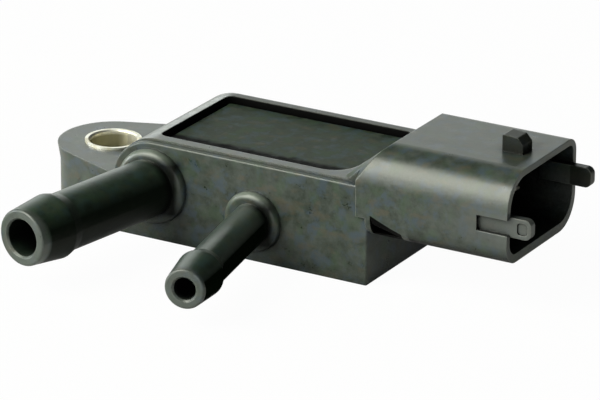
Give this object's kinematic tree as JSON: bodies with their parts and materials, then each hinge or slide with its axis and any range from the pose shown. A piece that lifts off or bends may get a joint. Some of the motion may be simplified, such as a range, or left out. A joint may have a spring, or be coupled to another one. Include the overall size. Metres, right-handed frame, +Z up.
{
  "type": "differential pressure sensor",
  "caption": "Flat plastic pressure sensor with a bolt ear, splayed hose nipples on one long side, a sealed cover plate and a keyed plug socket.",
  "frame": {"origin": "centre of the bolt bush, on the flat mounting face under the ear and body", "axes": "+X runs along the body from the bolt ear to the plug socket, the hose nipples point to -Y, +Z is up from the mounting face to the cover plate"},
  "size_m": [0.0773, 0.0476, 0.0212],
  "materials": {
    "housing_plastic": "moulded, fine grain",
    "bush_steel": "turned and plated",
    "cover_plastic": "moulded, slightly mottled",
    "seal": "cured sealant",
    "board_ceramic": "fired substrate",
    "cell_glass": "ground",
    "silicon": "polished silicon",
    "ring_plastic": "moulded",
    "gel": "clear soft gel",
    "wire_metal": "drawn",
    "chip_epoxy": "moulded epoxy",
    "terminal_metal": "stamped and tin plated",
    "capacitor_ceramic": "fired"
  },
  "bodies": {
    "root": {"housing": "housing_plastic", "bushing": "bush_steel", "cover_plate": "cover_plastic", "cover_seal": "seal", "circuit_board": "board_ceramic", "board_bond": "seal", "cell_base": "cell_glass", "sensing_die": "silicon", "gel_ring": "ring_plastic", "gel": "gel", "die_wires": "wire_metal", "signal_chip": "chip_epoxy", "terminal_1": "terminal_metal", "terminal_2": "terminal_metal", "terminal_3": "terminal_metal", "terminal_link_1": "wire_metal", "terminal_link_2": "wire_metal", "terminal_link_3": "wire_metal", "capacitor_1": "capacitor_ceramic", "capacitor_2": "capacitor_ceramic", "capacitor_3": "capacitor_ceramic", "capacitor_4": "capacitor_ceramic"}
  },
  "joints": []
}
